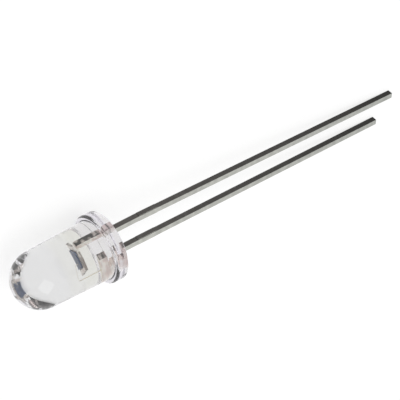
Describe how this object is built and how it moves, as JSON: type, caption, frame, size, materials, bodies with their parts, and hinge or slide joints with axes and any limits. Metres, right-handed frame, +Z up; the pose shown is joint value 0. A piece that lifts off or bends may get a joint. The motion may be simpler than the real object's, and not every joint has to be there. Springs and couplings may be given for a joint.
{
  "type": "photodiode",
  "caption": "Through-hole photodiode in a clear round lens package with a rim flange, a square chip on a bent platform and long straight solder leads of unequal length.",
  "frame": {"origin": "centre of the device's bounding box, on the ground it lies on", "axes": "+X towards the lens along the lying device, +Z up, short lead towards +Y and long lead towards -Y"},
  "size_m": [0.0382, 0.0058, 0.0059],
  "materials": {
    "clear_epoxy": "glossy, water clear",
    "tinned_lead": "satin solder coat",
    "silicon": "polished dark blue",
    "silver_adhesive": "matte",
    "gold_wire": "bright"
  },
  "bodies": {
    "root": {"epoxy_body": "clear_epoxy", "long_lead": "tinned_lead", "short_lead": "tinned_lead", "photodiode_chip": "silicon", "die_attach": "silver_adhesive", "bond_wire": "gold_wire"}
  },
  "joints": []
}
